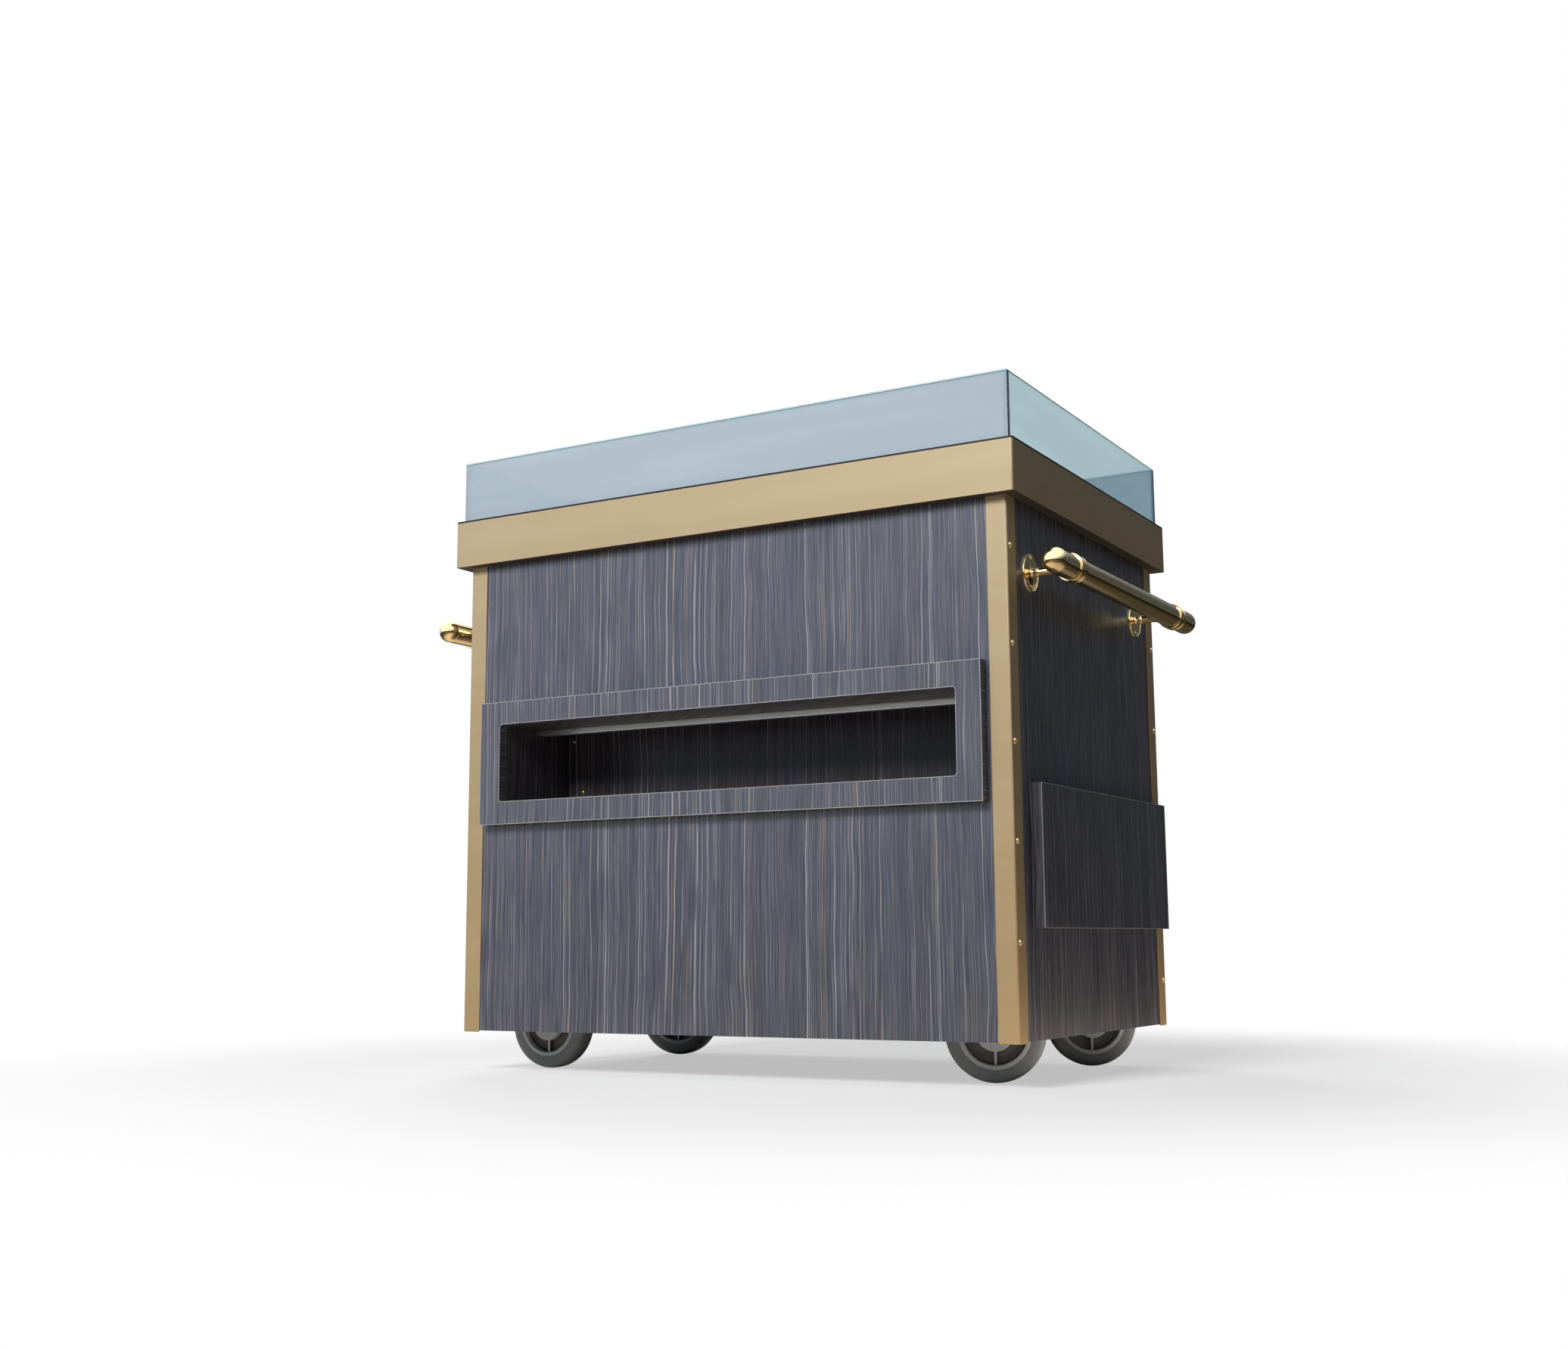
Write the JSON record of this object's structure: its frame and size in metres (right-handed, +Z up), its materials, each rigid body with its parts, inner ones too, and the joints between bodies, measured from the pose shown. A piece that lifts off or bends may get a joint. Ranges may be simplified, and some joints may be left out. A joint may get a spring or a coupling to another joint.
{
  "type": "dim sum cart",
  "caption": "Restaurant service cart: boxed cabinet with a long front niche, a side drawer, a glass-guarded top, bar handles on both ends and swivelling casters.",
  "frame": {"origin": "on the floor under the middle of the cabinet", "axes": "+Z up; the front with the long niche faces -Y; the drawer opens towards +X; the sliding doors are on the +Y side"},
  "size_m": [1.173, 0.69, 1.041],
  "materials": {
    "laminate": "satin dark laminate on board",
    "gold_paint": "satin champagne gold",
    "inner_board": "plain dark board",
    "birch_ply": "lacquered plywood",
    "black_sheet": "black laminate sheet",
    "guard_glass": "clear with polished edges",
    "anodised": "anodised",
    "zinc_steel": "zinc plated",
    "polished_brass": "polished",
    "grey_rubber": "matt grey rubber",
    "grey_plastic": "moulded grey"
  },
  "bodies": {
    "cart": {"front_panel": "laminate", "back_panel": "laminate", "left_panel": "laminate", "right_panel": "laminate", "niche_surround": "laminate", "niche_box": "laminate", "niche_back": "laminate", "corner_trim_front_left": "gold_paint", "corner_trim_front_right": "gold_paint", "corner_trim_back_left": "gold_paint", "corner_trim_back_right": "gold_paint", "fascia": "gold_paint", "base_deck": "inner_board", "inner_shelf": "inner_board", "drawer_partitions": "inner_board", "top_board": "inner_board", "head_rail": "inner_board", "worktop": "black_sheet", "glass_front": "guard_glass", "glass_back": "guard_glass", "glass_left": "guard_glass", "glass_right": "guard_glass", "niche_rail": "anodised", "door_track_lower": "anodised", "door_track_upper": "anodised", "cabinet_runners": "zinc_steel", "caster_plates": "zinc_steel", "handle_rails": "polished_brass", "handle_brackets": "polished_brass"},
    "drawer": {"drawer_front": "laminate", "drawer_box": "birch_ply", "drawer_bottom": "birch_ply", "drawer_slides": "zinc_steel"},
    "door_left": {"door_left": "laminate"},
    "door_right": {"door_right": "laminate"},
    "caster_front_right": {"caster_fork_front_right": "zinc_steel"},
    "wheel_front_right": {"caster_core_front_right": "grey_plastic", "caster_tyre_front_right": "grey_rubber"},
    "caster_front_left": {"caster_fork_front_left": "zinc_steel"},
    "wheel_front_left": {"caster_core_front_left": "grey_plastic", "caster_tyre_front_left": "grey_rubber"},
    "caster_back_right": {"caster_fork_back_right": "zinc_steel"},
    "wheel_back_right": {"caster_core_back_right": "grey_plastic", "caster_tyre_back_right": "grey_rubber"},
    "caster_back_left": {"caster_fork_back_left": "zinc_steel"},
    "wheel_back_left": {"caster_core_back_left": "grey_plastic", "caster_tyre_back_left": "grey_rubber"}
  },
  "joints": [
    {"name": "drawer_slide", "type": "slide", "parent": "cart", "child": "drawer", "axis": [1, 0, 0], "range_m": [0, 0.36]},
    {"name": "door_left_slide", "type": "slide", "parent": "cart", "child": "door_left", "axis": [1, 0, 0], "range_m": [0, 0.47]},
    {"name": "door_right_slide", "type": "slide", "parent": "cart", "child": "door_right", "axis": [-1, 0, 0], "range_m": [0, 0.47]},
    {"name": "caster_front_right_swivel", "type": "hinge", "parent": "cart", "child": "caster_front_right", "pos_m": [0.375, -0.2, 0.17], "axis": [0, 0, 1], "continuous": true},
    {"name": "wheel_front_right_spin", "type": "hinge", "parent": "caster_front_right", "child": "wheel_front_right", "pos_m": [0.40543, -0.19011, 0.075], "axis": [-0.309, 0.9511, 0], "continuous": true},
    {"name": "caster_front_left_swivel", "type": "hinge", "parent": "cart", "child": "caster_front_left", "pos_m": [-0.375, -0.2, 0.17], "axis": [0, 0, 1], "continuous": true},
    {"name": "wheel_front_left_spin", "type": "hinge", "parent": "caster_front_left", "child": "wheel_front_left", "pos_m": [-0.407, -0.2, 0.075], "axis": [0, -1, 0], "continuous": true},
    {"name": "caster_back_right_swivel", "type": "hinge", "parent": "cart", "child": "caster_back_right", "pos_m": [0.375, 0.2, 0.17], "axis": [0, 0, 1], "continuous": true},
    {"name": "wheel_back_right_spin", "type": "hinge", "parent": "caster_back_right", "child": "wheel_back_right", "pos_m": [0.40325, 0.21502, 0.075], "axis": [-0.4695, 0.8829, 0], "continuous": true},
    {"name": "caster_back_left_swivel", "type": "hinge", "parent": "cart", "child": "caster_back_left", "pos_m": [-0.375, 0.2, 0.17], "axis": [0, 0, 1], "continuous": true},
    {"name": "wheel_back_left_spin", "type": "hinge", "parent": "caster_back_left", "child": "wheel_back_left", "pos_m": [-0.40651, 0.19444, 0.075], "axis": [0.1736, -0.9848, 0], "continuous": true}
  ]
}
